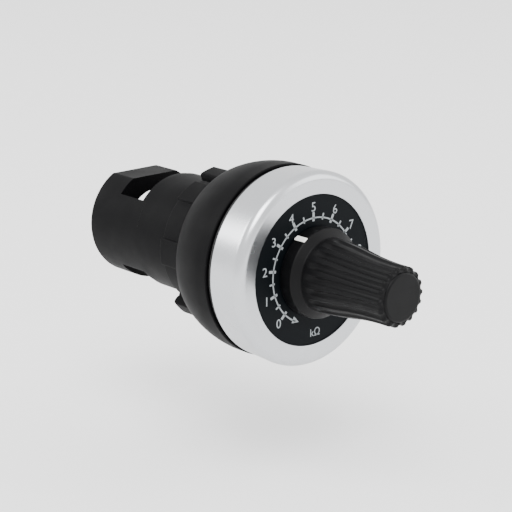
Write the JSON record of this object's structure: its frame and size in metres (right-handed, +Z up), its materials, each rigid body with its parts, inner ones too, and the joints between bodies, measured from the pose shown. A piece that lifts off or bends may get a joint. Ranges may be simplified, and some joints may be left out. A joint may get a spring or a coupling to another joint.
{
  "type": "panel potentiometer",
  "caption": "Round panel potentiometer with a plated bezel, printed scale, fluted knob, clamping collar and ring nut, and a rear barrel with screw terminals.",
  "frame": {"origin": "centre of the panel seat, which is the bezel's rear face, on the axis of revolution", "axes": "+Y along the axis from the dial towards the rear barrel, +Z up with the 5 of the scale at the top, +X to the right of a user who faces the dial"},
  "size_m": [0.0356, 0.0738, 0.0356],
  "materials": {
    "plated_ring": "satin-plated",
    "black_moulding": "fine moulded texture",
    "black_knob": "satin moulded",
    "dial_print": "smooth satin print",
    "white_inlay": "smooth",
    "rubber": "matte",
    "nickel_plate": "bright-plated",
    "steel": "turned",
    "brass": "turned",
    "phenolic": "pressed laminate",
    "carbon_film": "printed film",
    "tinned_wire": "tinned"
  },
  "bodies": {
    "housing": {"bezel_ring": "plated_ring", "dial_plate": "dial_print", "front_housing": "black_moulding", "panel_gasket": "rubber", "rear_barrel": "black_moulding", "pot_bushing": "nickel_plate", "bushing_washer": "nickel_plate", "bushing_nut": "nickel_plate", "pot_cover": "nickel_plate", "pot_base": "phenolic", "resistive_track": "carbon_film", "collector_ring": "brass", "base_rivets": "brass", "terminal_block": "black_moulding", "pot_terminal_1": "tinned_wire", "pot_terminal_2": "tinned_wire", "pot_terminal_3": "tinned_wire", "link_wire_1": "tinned_wire", "link_wire_2": "tinned_wire", "link_wire_3": "tinned_wire", "terminal_plate_1": "brass", "terminal_plate_2": "brass", "terminal_plate_3": "brass"},
    "knob": {"knob": "black_knob", "knob_cap": "black_knob", "knob_insert": "brass", "knob_screw": "steel", "pointer_inlay": "white_inlay", "pot_shaft": "steel", "wiper_rotor": "phenolic", "wiper_contact": "brass", "shaft_clip": "steel"},
    "collar": {"thrust_collar": "black_moulding"},
    "nut": {"ring_nut": "black_moulding"},
    "clamp_1": {"clamp_1": "nickel_plate"},
    "screw_1": {"screw_1": "nickel_plate"},
    "clamp_2": {"clamp_2": "nickel_plate"},
    "screw_2": {"screw_2": "nickel_plate"},
    "clamp_3": {"clamp_3": "nickel_plate"},
    "screw_3": {"screw_3": "nickel_plate"}
  },
  "joints": [
    {"name": "knob_turn", "type": "hinge", "parent": "housing", "child": "knob", "pos_m": [0, 0, 0], "axis": [0, 1, 0], "range_deg": [-117, 183]},
    {"name": "collar_travel", "type": "slide", "parent": "housing", "child": "collar", "axis": [0, 1, 0], "range_m": [0, 0.005]},
    {"name": "nut_turn", "type": "hinge", "parent": "collar", "child": "nut", "pos_m": [0, 0.016, 0], "axis": [0, 1, 0], "range_deg": [0, 1200]},
    {"name": "clamp_1_lift", "type": "slide", "parent": "housing", "child": "clamp_1", "axis": [0, 1, 0], "range_m": [0, 0.002]},
    {"name": "terminal_screw_1_turn", "type": "hinge", "parent": "clamp_1", "child": "screw_1", "pos_m": [0.00416, 0.0278, 0.0024], "axis": [0, 1, 0], "range_deg": [0, 1440]},
    {"name": "clamp_2_lift", "type": "slide", "parent": "housing", "child": "clamp_2", "axis": [0, 1, 0], "range_m": [0, 0.002]},
    {"name": "terminal_screw_2_turn", "type": "hinge", "parent": "clamp_2", "child": "screw_2", "pos_m": [0, 0.0278, -0.0048], "axis": [0, 1, 0], "range_deg": [0, 1440]},
    {"name": "clamp_3_lift", "type": "slide", "parent": "housing", "child": "clamp_3", "axis": [0, 1, 0], "range_m": [0, 0.002]},
    {"name": "terminal_screw_3_turn", "type": "hinge", "parent": "clamp_3", "child": "screw_3", "pos_m": [-0.00416, 0.0278, 0.0024], "axis": [0, 1, 0], "range_deg": [0, 1440]}
  ],
  "couplings": [
    {"joint": "nut_turn", "follows": "collar_travel", "rad_per_m": 4188.8},
    {"joint": "terminal_screw_1_turn", "follows": "clamp_1_lift", "rad_per_m": 12566},
    {"joint": "terminal_screw_2_turn", "follows": "clamp_2_lift", "rad_per_m": 12566},
    {"joint": "terminal_screw_3_turn", "follows": "clamp_3_lift", "rad_per_m": 12566}
  ]
}
